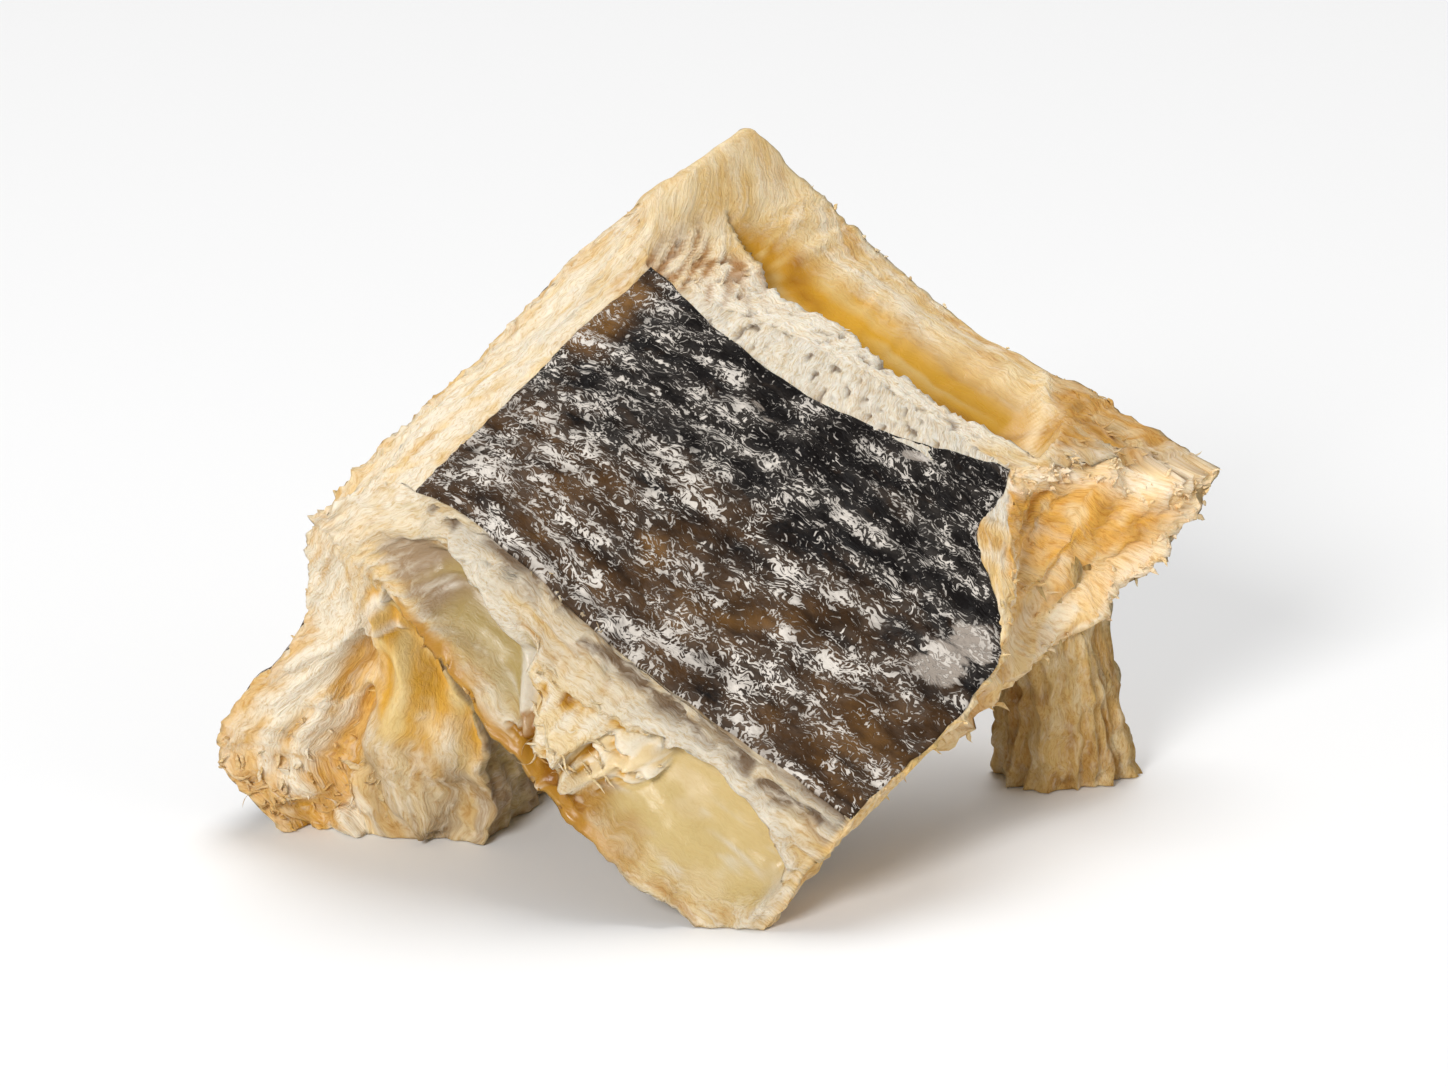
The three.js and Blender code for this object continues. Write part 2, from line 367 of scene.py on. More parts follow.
# Grid lines of the flesh, which lie closer together near the two cuts
WALL_GRID = 122
FLANK_GRID = 158
ALONG_GRID = 92
OUTWARD_GRID = 52
CROWDING = 0.35
wall_lines = np.linspace(LEFT_FOOT, BACK_RIDGE, WALL_GRID, endpoint=False)
flank_lines = np.linspace(BACK_RIDGE, RIGHT_HEM, FLANK_GRID)
around_lines = np.concatenate([wall_lines, flank_lines])
crowded_lines = (1 - np.cos(np.linspace(0, math.pi, ALONG_GRID))) / 2
along_lines = crowded_lines * CROWDING + np.linspace(0, 1, ALONG_GRID) * (1 - CROWDING)
outward_lines = np.linspace(0, 1, OUTWARD_GRID)
places, flesh_faces = block_surface(around_lines, along_lines, outward_lines)
around, along, outward = places.T
in_front = along == 0
in_rear = along == 1
at_hem = around == RIGHT_HEM
on_skin_side = outward == 1
on_lining = outward == 0
mm_frame = fibre_frame(around, along, outward)

# Fibres on the cuts run round the roof and dip where they pass under the ridge
RIDGE_DIP = 0.55
flow_frame = fibre_frame(around, along, outward + RIDGE_DIP * bell(around, 0.2))
bent_around = around + 0.01 * grain(mm_frame / 8) + 0.004 * grain(mm_frame / 2.5)
wander = 0.04 * grain(mm_frame / (9, 9, 6) + 31) + 0.015 * grain(mm_frame / 2.6 + 8)
bent_outward = outward + wander * np.sin(outward * math.pi)


def cut_patch(eye, soft_rim=SOFT_RIM):
    return eye_shape(bent_around, bent_outward, eye, soft_rim)


pocket = cut_patch(POCKET, 0.7)
cove = cut_patch(COVE, 2.0) * ramp(bent_around, 0.02, 0.25)
membrane = cut_patch(COVE, 1.2) * ramp(bent_around, 0.02, 0.14)
knob = cut_patch(KNOB)
knob_lumps = lump_heights(bent_around, bent_outward, KNOB_LUMPS)
knob_hollow = cut_patch(KNOB_HOLLOW) * ramp(bent_around, 0.67, 0.54)
small_hollows = knob_hollow + cut_patch(COVE_HOLLOW)
split = cut_patch(SPLIT)
swelling = cut_patch(SWELLING, 1.0)
golden_wall = cut_patch(GOLDEN_WALL, 0.7)
wall_crease = cut_patch(WALL_CREASE)
wall_hollow = cut_patch(WALL_HOLLOW)
wall_dip = cut_patch(WALL_DIP)
hem_swelling = eye_shape(along, bent_outward, HEM_SWELLING)
trough = trough_shape(bent_around, bent_outward)
front_seams = strongest(bent_around, bent_outward, FLANK_SEAMS + WALL_SEAMS)
wall_folds = strongest(bent_around, bent_outward, WALL_FOLDS)
band_slits = strongest(bent_around, bent_outward, BAND_SLITS)
band_slits *= ramp(grain(flow_frame / (6, 3, 1.6) + 95), -0.5, 0.0)
flap_seam = strongest(bent_around, bent_outward, FLAP_SEAM)

# Long streaks cover the cuts, and round crumbs the knob and the torn places
long_streaks = 0.6 * creases(flow_frame / (18, 14, 2.6) + 12)
long_streaks += 0.4 * creases(flow_frame / (9, 9, 1.1) + 16)
crumbs = 0.6 * creases(mm_frame / 4.2) + 0.4 * creases(mm_frame / 1.9 + 5)
folds = grain(flow_frame / (15, 20, 3) + 3)
fine_streaks = grain(flow_frame / (30, 30, 1) + 21)
slant = mm_frame @ np.array([[1.0, 0, -0.8], [0, 1.0, 0], [0.8, 0, 1.0]])
slant_streaks = grain(slant / (9, 9, 1.2) + 33)
pits = limited((grain(mm_frame / (1.3, 2.6, 1.3) + 40) - 0.35) * 4)
grit = creases(mm_frame / 1.7 + 50)
knob_web = 0.6 * creases(mm_frame / 3.4 + 7) + 0.4 * creases(mm_frame / 1.8 + 17)
smooth_wall = ramp(-around, 0.02, 0.1) * ramp(around, -0.5, -0.36)
calm_front = limited(1.6 * pocket + 1.6 * cove + 1.1 * swelling + 0.6 * smooth_wall)
band = ramp(bent_outward, 0.78, 0.86) * ramp(around, 0.15, 0.4)
band_gaps = band * ramp(grain(flow_frame / (13, 8, 0.8) + 90), 0.0, 0.3)
back_wall = ramp(bent_outward, 0.45, 0.28) * stretch(around, 0.25, 0.45, 0.72, 0.85)
calm_rear = limited(1.8 * trough + 0.7 * back_wall)
under_skin = ramp(outward, 0.9, 1) * ramp(around, 0.1, SKIN_START)
torn_foot = ramp(-around, 0.4, 0.55) * ramp(outward, 0.45, 0.7)
apex = bell(around, 0.22) * (along > 0.5)
flap = ramp(bent_around - 0.77 - 0.3 * (bent_outward - 0.06), 0.0, 0.03) * (along > 0.5)
strip_rise = ramp(bent_outward, 0.6, 0.68) * stretch(around, 0.1, 0.16, 0.86, 0.95)
rear_strip = strip_rise * (1 - calm_rear)
relief = (long_streaks - 0.4) * (1 - under_skin)

wall_waves = grain(flow_frame / (12, 20, 3.6) + 3)
front_depth = POCKET_DEPTH * pocket + COVE_DEPTH * cove - KNOB_HEIGHT * knob + HOLLOW_DEPTH * small_hollows
front_depth += WALL_CREASE_DEPTH * wall_crease + WALL_HOLLOW_DEPTH * wall_hollow - SWELLING_HEIGHT * swelling
front_depth += SPLIT_DEPTH * split * ramp(folds, -0.1, 0.4) + wall_folds + band_slits - front_seams
front_depth += 1.3 * band_gaps - 0.8 * knob_lumps
front_depth -= knob**0.5 * (1.7 * (knob_web - 0.4) + 0.5 * (grit - 0.4))
front_depth -= STREAK_HEIGHT * (1 - calm_front) * relief + 2.2 * torn_foot * (crumbs - 0.4) - 0.5 * under_skin
front_depth += 0.9 * limited(1.5 * cove + pocket) * folds
front_depth += 1.1 * limited(1.5 * swelling + smooth_wall) * wall_waves
rear_depth = TROUGH_DEPTH * trough + WALL_DIP_DEPTH * wall_dip - flap_seam + 0.5 * calm_rear * fine_streaks
rear_depth -= STREAK_HEIGHT * (1 - calm_rear) * (1 - 0.8 * rear_strip) * (1 - 0.7 * apex) * relief
rear_depth -= 0.9 * flap * (crumbs - 0.4)
rear_depth += rear_strip * (0.9 * pits - 0.5 * (grit - 0.4) + 0.5 * slant_streaks * ramp(around, 0.5, 0.25))

calm = np.where(in_front, calm_front, 0) + np.where(in_rear, calm_rear, 0)
flesh_points = roof_points(around, along, outward)
flesh_points += relief_push(around, along, outward) * (1 - 0.8 * calm)[:, None]
SMALL_STEP = 0.01
behind = np.maximum(along - SMALL_STEP, 0)
ahead = np.minimum(along + SMALL_STEP, 1)
along_fish = way((around, behind, outward), (around, ahead, outward))
cut_push = np.where(in_front, front_depth, 0) - np.where(in_rear, rear_depth, 0)
flesh_points += along_fish * (cut_push * MM)[:, None]

hem = np.full_like(around, RIGHT_HEM)
out_of_hem = way((hem - SMALL_STEP, along, outward), (hem, along, outward))
hem_columns = creases(mm_frame / (4, 2.6, 16) + 44)
hem_fuzz = ramp(along, 0.6, 0.78)
hem_dish = eye_shape(along, bent_outward, HEM_DISH, 1.0)
hem_rim = hem_fuzz * np.maximum(ramp(bent_outward, 0.2, 0.06), ramp(along, 0.92, 0.98))
true_place = roof_points(around, along, outward) / MM
rim_crumbs = creases(true_place / 2.4 + 50)
hem_relief = HEM_SWELLING_HEIGHT * hem_swelling - HEM_DISH_DEPTH * hem_dish
hem_relief += (1.4 - hem_fuzz) * (hem_columns - 0.4)
hem_relief += 0.7 * ramp(along, 0.1, 0.4) * (crumbs - 0.35)
rim_waves = 2.2 * grain(true_place / 5 + 55) * (1 - ramp(along, 0.85, 0.95) * ramp(outward, 0.12, 0.02))
rim_ease = ramp(along, 1, 0.94)
hem_relief += 0.7 * hem_fuzz * (rim_crumbs - 0.4) + hem_rim * rim_ease * (1.2 + 0.8 * rim_crumbs + rim_waves)
flesh_points += out_of_hem * (np.where(at_hem, hem_relief, 0) * MM)[:, None]

SKIN_BED = 0.5  # how far the flesh lies back under the skin
skin_cover = np.where(on_skin_side, flank_skin_cover(around, along) + wall_skin_cover(around, along), 0)
through = way((around, along, np.zeros_like(around)), (around, along, np.ones_like(around)))
fibre_relief = grain(mm_frame / (1.7, 12, 1.7))
ridge_fuzz = bell(around, 0.04)
bare_relief = 0.5 * fibre_relief + (0.4 + 1.6 * ridge_fuzz) * (crumbs - 0.4) + 0.4 * (grit - 0.4)
bare_relief -= 0.9 * pits * ramp(along, 0.8, 0.9)
lining_ribs = grain(mm_frame / (12, 2.6, 5))
sheet_relief = np.where(on_skin_side, bare_relief * (1 - skin_cover) - SKIN_BED * skin_cover, 0)
lining_relief = 0.5 * lining_ribs + 0.3 * fibre_relief + 0.3 * (crumbs - 0.4)
sheet_relief = np.where(on_lining, lining_relief, sheet_relief)
flesh_points += through * (sheet_relief * MM)[:, None]


def tint(red, green, blue):
    """Linear colour from the usual 0 to 255 values."""
    share = np.array([red, green, blue]) / 255
    return np.where(share <= 0.04045, share / 12.92, ((share + 0.055) / 1.055) ** 2.4)


def mix(colours, other, share):
    """Colours, or one colour, taken part of the way to another at each point."""
    return colours + (other - colours) * limited(share)[:, None]


CHALK = tint(238, 232, 218)
WHITE = tint(230, 220, 200)
CREAM = tint(228, 204, 158)
STRAW = tint(214, 178, 112)
PALE_YELLOW = tint(216, 190, 130)
GOLD = tint(206, 154, 46)
AMBER = tint(184, 132, 52)
DEEP_AMBER = tint(150, 96, 14)
BROWN = tint(92, 60, 28)
OLIVE_GREY = tint(182, 158, 98)
WARM_GREY = tint(160, 134, 102)
ORANGE = tint(208, 152, 54)


def layered(base, layers, zone=1.0):
    """Lays colours over one another, each with its share at every point of the zone."""
    for colour, share in layers:
        base = mix(base, colour, zone * share)
    return base


def darkened(colours, share):
    return colours * (1 - share)[:, None]


patches = layered_grain(flow_frame / (9, 16, 4) + 60)
streak_patches = layered_grain(flow_frame / (12, 9, 1.6) + 70)
crumb_patches = layered_grain(mm_frame / 2.6 + 65)
flesh_tint = layered(CREAM, [
    (STRAW, ramp(patches, -0.3, 0.3) * 0.8),
    (AMBER, ramp(-streak_patches, 0.15, 0.5) * 0.55),
    (WHITE, ramp(long_streaks + 0.3 * streak_patches, 0.35, 0.75) * 0.65),
])

# Flank at the front cut: grey membrane in the cove, cream knob over amber hollows, pale yellow pocket with
# painted highlight streaks, brown painted shade in the slits and gaps below the skin, and a painted shadow
# along its edge
CUT_COLOUR_DEPTH = 0.015  # how far the cuts' colours reach along the fish
front_zone = np.exp(-along / CUT_COLOUR_DEPTH)
pocket_start = 0.62 - bent_around + 0.6 * (0.2 - bent_outward) + 0.15 * patches
pocket_tint_and_highlights = layered(PALE_YELLOW, [
    (CREAM, ramp(patches, 0, 0.5) * 0.6),
    (AMBER, ramp(pocket_start, -0.12, 0.1)),
    # Painted highlights: white streaks over the glossy pocket
    (WHITE, ramp(0.5 * folds + streak_patches, 0.2, 0.6) * 0.65),
])
membrane_tint = layered(OLIVE_GREY, [
    (WARM_GREY, ramp(0.26 - around + 0.1 * folds, -0.14, 0.12)),
    (WHITE, ramp(0.3 * folds + streak_patches, 0.15, 0.6) * 0.6),
])
knob_crests = knob_web + 0.1 * knob_lumps
knob_tint = layered(GOLD, [
    (CREAM, ramp(knob_crests, 0.25, 0.5)),
    (DEEP_AMBER, ramp(knob_crests, 0.3, 0.15) * 0.8),
    (CHALK, ramp(knob_web, 0.45, 0.75) * 0.6),
])
in_hollow = limited(3 * small_hollows)
hollow_share = in_hollow * limited(0.9 + 0.9 * crumb_patches)
lining_rim = ramp(bent_outward, 0.12, 0.04) * stretch(around, 0.05, 0.12, 0.6, 0.8)
# Painted shadow along the skin's edge, and painted shade in the band's slits and gaps
skin_edge_shadow = ramp(outward, 0.9, 0.95) * ramp(around, 0.2, 0.3) * ramp(patches, -0.3, 0.2)
gap_shade = band_gaps * (0.6 + 0.3 * ramp(around, 0.4, 0.8))
slit_shade = np.maximum(gap_shade, ramp(band_slits, 0.2, 0.8) * 0.85)
flesh_tint = layered(flesh_tint, [
    (pocket_tint_and_highlights, limited(3 * pocket)),
    (membrane_tint, ramp(membrane + 0.4 * streak_patches, 0.1, 0.75)),
    (knob_tint, limited(3 * knob)),
    (GOLD, in_hollow),
    (DEEP_AMBER, hollow_share),
    (GOLD, lining_rim * 0.9),
    (AMBER, lining_rim * ramp(patches, -0.6, 0.1) * 0.9),
    (WHITE, band * 0.5),
    (BROWN, np.maximum(slit_shade, 0.5 * skin_edge_shadow)),
], front_zone)

# Left wall at the front cut: golden swelling, grey fibrous foot darkened with painted shade, white layers
# with golden folds
pale_wall = ramp(bent_outward, 0.56, 0.66) * ramp(-around, 0, 0.1)
grey_shaded_foot = ramp(-around + 0.1 * patches, 0.28, 0.5) * ramp(bent_outward, 0.56, 0.4)
flesh_tint = layered(flesh_tint, [
    (WHITE, pale_wall * ramp(streak_patches, -0.5, 0) * 0.8),
    (WARM_GREY, grey_shaded_foot * ramp(streak_patches, -0.4, 0.3) * 0.75),
], front_zone)
# Painted shade: the lower wall toward the foot is darkened by about a fifth
flesh_tint = darkened(flesh_tint, 0.22 * front_zone * grey_shaded_foot)
golden_tint = mix(GOLD, PALE_YELLOW, ramp(0.6 * patches - wall_waves, -0.2, 0.5) * 0.9)
golden_share = limited(2 * golden_wall) * ramp(around + 0.12 * patches, -0.46, -0.3)
golden_folds = limited(2 * wall_hollow + ramp(wall_folds, 0.8, 2))
torn_streaks = torn_foot * ramp(crumb_patches + ramp(outward, 0.7, 0.95) * 0.4, 0.0, 0.4) * 0.75
wall_rim = ramp(bent_outward + 0.05 * crumb_patches, 0.88, 0.97) * ramp(-around, 0.2, 0.3)
ridge_front = bell(around - 0.03, 0.09) * ramp(outward, 0.35, 0.75)
flesh_tint = layered(flesh_tint, [
    (golden_tint, golden_share * 0.95),
    (GOLD, golden_folds * 0.8),
    (GOLD, np.maximum(torn_streaks, 0.6 * wall_rim)),
    (mix(WHITE, CREAM, 2 * knob), ramp(front_seams, 0.4, 1.2) * (1 - hollow_share) * 0.9),
    (WHITE, ridge_front * 0.6),
], front_zone)
# Painted shade: the flank side of the front cut is darkened by about a quarter, less on the knob
flesh_tint = darkened(flesh_tint, 0.24 * front_zone * ramp(around, 0.05, 0.2) * (1 - 0.6 * knob))

# Rear cut: golden trough that pales towards the back wall, with painted highlights and shade on its streaks,
# white porous strip with painted shade in its pits, orange flap
rear_zone = np.exp(-(1 - along) / CUT_COLOUR_DEPTH)
# Painted highlights in pale yellow on the trough's raised streaks, and painted shade in deep amber in its
# sunk ones
trough_tint_with_painted_streaks = layered(GOLD, [
    (DEEP_AMBER, ramp(0.5 - around, 0, 0.2) * 0.4 + ramp(fine_streaks, 0.1, 0.6) * 0.5),
    (PALE_YELLOW, ramp(-fine_streaks, 0.1, 0.6) * 0.6),
])
trough_tint_with_painted_streaks = darkened(trough_tint_with_painted_streaks, 0.2 * ramp(around, 0.5, 0.75))
trough_tint_with_painted_streaks = mix(trough_tint_with_painted_streaks, CREAM, ramp(bent_outward, 0.3, 0.18) * 0.8)
apex_tint = layered(CREAM, [
    (STRAW, ramp(patches + 2 * around, -0.2, 0.5)),
    (GOLD, ramp(0.5 * patches + streak_patches, 0.2, 0.7) * 0.5),
])
flesh_tint = layered(flesh_tint, [
    (0.9 * apex_tint, apex * 0.7),
    (trough_tint_with_painted_streaks, limited(3 * trough)),
], rear_zone)
skin_side_strip = ramp(along, 0.8, 0.86) * ramp(around, 0.2, 0.3)
bare_strip = np.where(on_skin_side, skin_side_strip, rear_zone * rear_strip)
strip_chalk = bare_strip * (0.6 + 0.4 * grit) * (0.35 + 0.65 * ramp(around, 0.22, 0.4))
# Painted shade: brown in the pits of the porous strip
flesh_tint = layered(flesh_tint, [(CHALK, strip_chalk), (BROWN, bare_strip * pits * 0.75)])
flesh_tint = darkened(flesh_tint, np.where(on_skin_side, 0.18 * bare_strip, 0))
apex_slits = rear_zone * rear_strip * ramp(around, 0.45, 0.25) * ramp(slant_streaks, 0, 0.3)
hem_flap = np.where(at_hem, ramp(along + 0.1 * crumb_patches, 0.7, 0.84), 0)
flap_zone = np.maximum(rear_zone * flap, hem_flap)
flap_crumbs = crumb_patches + streak_patches
flap_rim = np.where(at_hem, hem_rim, ramp(around + 0.05 * crumb_patches, 0.94, 1))
flap_tint = layered(ORANGE, [
    (CREAM, ramp(flap_crumbs, 0.05, 0.6) * 0.6),
    (DEEP_AMBER, ramp(-flap_crumbs, 0.2, 0.7) * 0.45),
    (mix(CREAM, CHALK, rim_crumbs), flap_rim * 0.75),
])
bare_hem = np.where(at_hem, 1 - hem_fuzz, 0)
flesh_tint = layered(flesh_tint, [
    (DEEP_AMBER, apex_slits * 0.85),
    (flap_tint, flap_zone * 0.9),
    (CREAM, rear_zone * ramp(flap_seam, 0.3, 1) * 0.7),
    (STRAW, bare_hem * 0.5),
    (AMBER, bare_hem * ramp(0.5 - hem_columns, 0, 0.3) * 0.6),
])
# Painted light: the torn hem, turned away from the key light, is brightened by a fifth; the flap is darkened
# by up to a fifth
flesh_tint *= np.where(at_hem, 1.2, 1 - 0.2 * flap_zone)[:, None]

# Back ridge, white with a golden edge, and lining
ridge_strip = bell(around - 0.1, 0.09) * ramp(outward, 0.6, 0.95) * ramp(along, 1.3, 0.6)
golden_edge = bell(around, 0.03) * ramp(outward, 0.7, 0.95)
lining_share = np.where(on_lining & ~in_front & ~in_rear, 1.0, 0.0)
lining_tint = layered(OLIVE_GREY, [
    (WARM_GREY, ramp(patches, -0.3, 0.3)),
    (BROWN, ramp(crumb_patches + fibre_relief, 0.3, 0.9) * 0.5),
    (CREAM, ramp(-crumb_patches - lining_ribs, 0.2, 0.8) * 0.6),
])
flesh_tint = layered(flesh_tint, [
    (WHITE, ridge_strip * ramp(fibre_relief + 0.4 * crumb_patches, -0.6, 0.3)),
    (GOLD, golden_edge * ramp(crumb_patches, -0.2, 0.4) * 0.6),
    (lining_tint, lining_share * 0.85),
])

# Where the flesh is glossy, and how much of the fibres' chalky white it takes
glossy_front = 1.5 * pocket + 1.2 * cove + 0.6 * golden_share + lining_rim + small_hollows
glossy_rear = 1.8 * trough + 0.5 * apex
gloss = front_zone * limited(glossy_front) + rear_zone * limited(glossy_rear)
gloss = limited(gloss + 0.25 * lining_share)
golden_front = front_zone * limited(golden_share + 3 * knob)
chalk = (1 - gloss) * (1 - 0.7 * apex_slits) * (1 - 0.6 * flap_zone) * (1 - 0.5 * golden_front)
fibre_place = flow_frame.copy()
fibre_place[:, 1] += cut_push

# How the fibres' place is squeezed for the material, least along the fibres: along the fish under the skin
# and on the lining, round the roof on the cuts, and from lining to skin on the torn hem
ALONG_FISH = (1.1, 0.13, 1.1)
ROUND_ROOF = (0.13, 1.1, 1.1)
LINING_TO_SKIN = (1.1, 1.1, 0.35)
face_places = places[flesh_faces]
level = (face_places == face_places[:, :1]).all(axis=1)
fibre_squeeze = np.where(level[:, 1:2], ROUND_ROOF, np.where(level[:, :1], LINING_TO_SKIN, ALONG_FISH))


def feed(tree, target, inputs):
    """Links the inputs that are sockets to a shader node, and sets the ones that are values."""
    for socket, value in inputs.items():
        if isinstance(value, bpy.types.NodeSocket):
            tree.links.new(value, target.inputs[socket])
        else:
            target.inputs[socket].default_value = value


def node(tree, kind, inputs, **settings):
    made = tree.nodes.new(kind)
    for name, value in settings.items():
        setattr(made, name, value)
    feed(tree, made, inputs)
    return made


def attribute(tree, name, output="Fac"):
    return node(tree, "ShaderNodeAttribute", {}, attribute_name=name).outputs[output]


def stretched_noise(tree, place, scale, detail, roughness):
    mapping = node(tree, "ShaderNodeMapping", {"Vector": place, "Scale": scale})
    values = {"Vector": mapping.outputs["Vector"], "Scale": 1.0, "Detail": detail, "Roughness": roughness}
    return node(tree, "ShaderNodeTexNoise", values).outputs["Fac"]


def remap(tree, value, from_low, from_high, to_low=0.0, to_high=1.0):
    limits = {"From Min": from_low, "From Max": from_high, "To Min": to_low, "To Max": to_high}
    return node(tree, "ShaderNodeMapRange", {"Value": value, **limits}).outputs["Result"]


def spread(tree, share, low, high):
    return remap(tree, share, 0.0, 1.0, low, high)


def blended(tree, share, first, second, kind="MIX"):
    """Two colours mixed. The node takes its share at input 0 and its colours at inputs 6 and 7."""
    inputs = {0: share}
    for socket, colour in ((6, first), (7, second)):
        inputs[socket] = colour if isinstance(colour, bpy.types.NodeSocket) else (*colour, 1.0)
    return node(tree, "ShaderNodeMix", inputs, data_type="RGBA", blend_type=kind).outputs[2]


def maths(operation, kind="ShaderNodeMath"):
    """Function that adds a maths node for one or two values."""
    def combined(tree, first, second=0.0):
        return node(tree, kind, {0: first, 1: second}, operation=operation).outputs[0]
    return combined


times, plus = (maths(name) for name in ("MULTIPLY", "ADD"))
vector_times, vector_plus = (maths(name, "ShaderNodeVectorMath") for name in ("MULTIPLY", "ADD"))


def swayed(tree, place, scale, reach):
    """Place pushed about by slow noise."""
    noise = node(tree, "ShaderNodeTexNoise", {"Vector": place, "Scale": scale, "Detail": 2.0})
    return vector_plus(tree, place, vector_times(tree, noise.outputs["Color"], reach))


def bumps(tree, height, strength, millimetres):
    inputs = {"Height": height, "Strength": strength, "Distance": millimetres * MM}
    return node(tree, "ShaderNodeBump", inputs).outputs["Normal"]


def plain_material(name):
    material = bpy.data.materials.new(name)
    material.use_nodes = True
    return material, material.node_tree, material.node_tree.nodes["Principled BSDF"]


FIBRE_GAP = (0.76, 0.6, 0.38)  # what is left of the light between the fibres


def flesh_material():
    """Dry fish flesh: fine fibres, chalky on their crests, darkened to amber between them with painted shade,
    and glossy in the hollows.
    """
    material, tree, surface = plain_material("dried_flesh")
    base = attribute(tree, "flesh_tint", "Color")
    place = attribute(tree, "fibre_place", "Vector")
    squeeze = attribute(tree, "fibre_squeeze", "Vector")
    shine = attribute(tree, "gloss")
    chalk = attribute(tree, "chalk")
    lay = vector_times(tree, swayed(tree, place, 0.25, (2.5, 2.5, 2.5)), squeeze)
    strands = stretched_noise(tree, lay, (1.0, 1.0, 1.0), 5.0, 0.6)
    fine = stretched_noise(tree, lay, (3.4, 3.4, 3.4), 4.0, 0.6)
    gaps = times(tree, remap(tree, fine, 0.46, 0.66, 0.0, 0.8), spread(tree, shine, 1.0, 0.2))
    shaded = blended(tree, gaps, base, FIBRE_GAP, "MULTIPLY")
    chalky = blended(tree, times(tree, remap(tree, strands, 0.5, 0.66, 0.0, 0.42), chalk), shaded, WHITE)
    rough = remap(tree, fine, 0.3, 0.7, 0.5, 0.75)
    smooth = remap(tree, strands, 0.3, 0.7, 0.2, 0.36)
    finish = node(tree, "ShaderNodeMix", {0: shine, 2: rough, 3: smooth}, data_type="FLOAT").outputs[0]
    height = plus(tree, strands, times(tree, fine, 0.4))
    depth = times(tree, height, spread(tree, shine, 1.0, 0.12))
    feed(tree, surface, {
        "Base Color": chalky,
        "Roughness": finish,
        "Normal": bumps(tree, depth, 0.65, 0.8),
        "Specular IOR Level": 0.25,
        "Subsurface Weight": 0.08,
        "Subsurface Radius": (2.0 * MM, 1.1 * MM, 0.5 * MM),
        "Subsurface Scale": 1.0,
    })
    return material


VALUE_KINDS = {1: ("FLOAT", "value"), 3: ("FLOAT_VECTOR", "vector"), 4: ("FLOAT_COLOR", "color")}


def add_data(mesh, domain, data):
    """Gives each point or face of a mesh its values, vectors or colours."""
    for label, values in data.items():
        kind, key = VALUE_KINDS[values.size // len(values)]
        mesh.attributes.new(label, kind, domain).data.foreach_set(key, values.ravel())


def new_piece(name, points, faces, material, point_data, face_data):
    """Mesh piece with its data for the material, cut off flat at the ground."""
    mesh = bpy.data.meshes.new(name)
    mesh.from_pydata(points.tolist(), [], [tuple(face) for face in faces.tolist()])
    add_data(mesh, "POINT", point_data)
    add_data(mesh, "FACE", face_data)
    mesh.materials.append(material)
    piece = bpy.data.objects.new(name, mesh)
    bpy.context.scene.collection.objects.link(piece)
    stand_flat(mesh)
    mesh.shade_smooth()
    return piece


def stand_flat(mesh):
    """Cuts the mesh off at the ground and closes the cut."""
    work = bmesh.new()
    work.from_mesh(mesh)
    if min(vertex.co.z for vertex in work.verts) < 0:
        everything = work.verts[:] + work.edges[:] + work.faces[:]
        ground = {"plane_co": (0, 0, 0), "plane_no": (0, 0, 1)}
        bmesh.ops.bisect_plane(work, geom=everything, clear_inner=True, **ground)
        rim = [edge for edge in work.edges if edge.is_boundary]
        bmesh.ops.edgeloop_fill(work, edges=rim)
        bmesh.ops.triangulate(work, faces=[face for face in work.faces if len(face.verts) > 4])
    bmesh.ops.recalc_face_normals(work, faces=work.faces[:])
    work.to_mesh(mesh)
    work.free()


def fit_out(piece):
    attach(piece, "root")
    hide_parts("stockfish_piece")


dried_flesh = flesh_material()


def flesh_piece(name, points, faces, tints, fibre_place, shares, squeeze):
    point_data = {"flesh_tint": np.insert(tints, 3, 1, axis=1), "fibre_place": fibre_place, **shares}
    face_data = {"fibre_squeeze": np.broadcast_to(squeeze, (len(faces), 3))}
    return new_piece(name, points, faces, dried_flesh, point_data, face_data)


flesh_shares = {"gloss": gloss, "chalk": chalk}
flesh = flesh_piece("flesh", flesh_points, flesh_faces, flesh_tint, fibre_place, flesh_shares, fibre_squeeze)
fit_out(flesh)

# Torn leg
# A ragged leg of belly flesh that hangs from the hem down to the ground, where the belly wall was torn off.
# It is the same dried flesh, twisted and fluted along its fibres.

LEG_ROOT = (0.9, 0.8, 0.3)  # around, along, outward
LEG_KNEE = (46.5, 31, 19)  # in the guide lines' millimetres
LEG_FOOT = (49, 37, -4)
# Half width and half thickness at the root, the knee and the foot
LEG_WIDES = [(10, 7, 7), (6.5, 2.5, 2), (9, 2, 0)]
LEG_THICKS = [(-4, 4, 1), (-2, 5, 0), (-2, 6.5, 0)]
LEG_SIDES = 110
LEG_STEPS = 90


def turned(first, second, angle):
    """Directions at an angle from the first one towards the second."""
    return first * np.cos(angle)[:, None] + second * np.sin(angle)[:, None]


def tube_faces(sides, steps):
    """Quads of a tube of rings, and a fan of triangles over each end."""
    ring = np.arange(sides)
    following = np.roll(ring, -1)
    start = (np.arange(steps) * sides)[:, None]
    corners = [start + ring, start + following, start + sides + following, start + sides + ring]
    quads = np.stack(corners, axis=-1)
    top = sides * (steps + 1)
    last = sides * steps
    first_fan = [(top, b, a) for a, b in zip(ring.tolist(), following.tolist())]
    last_fan = [(top + 1, last + a, last + b) for a, b in zip(ring.tolist(), following.tolist())]
    return [tuple(quad) for quad in quads.reshape(-1, 4).tolist()] + first_fan + last_fan


